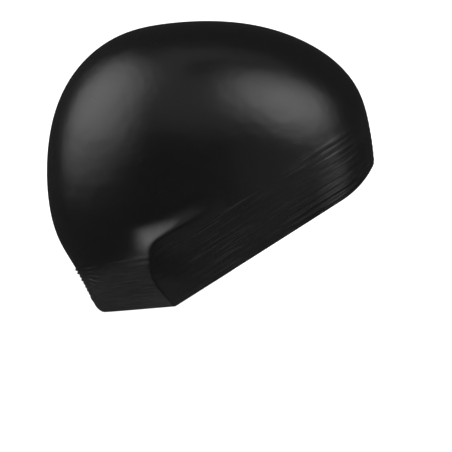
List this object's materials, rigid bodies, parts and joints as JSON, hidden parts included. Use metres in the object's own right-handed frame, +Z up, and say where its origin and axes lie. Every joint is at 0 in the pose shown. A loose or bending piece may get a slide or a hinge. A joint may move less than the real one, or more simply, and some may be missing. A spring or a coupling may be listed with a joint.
{
  "type": "swim cap",
  "caption": "Moulded rubber swim cap in the shape it has on a head, with a ribbed grip band along the edge and a crease where it stretches over each ear.",
  "frame": {"origin": "middle of the opening for the head, level with the lowest part of the cap's edge", "axes": "+X to the forehead, +Y to the wearer's left, +Z up through the crown"},
  "size_m": [0.1998, 0.1566, 0.1773],
  "materials": {
    "rubber": "black, satin, with a fine powdery grain"
  },
  "bodies": {
    "root": {"cap_shell": "rubber"}
  },
  "joints": []
}
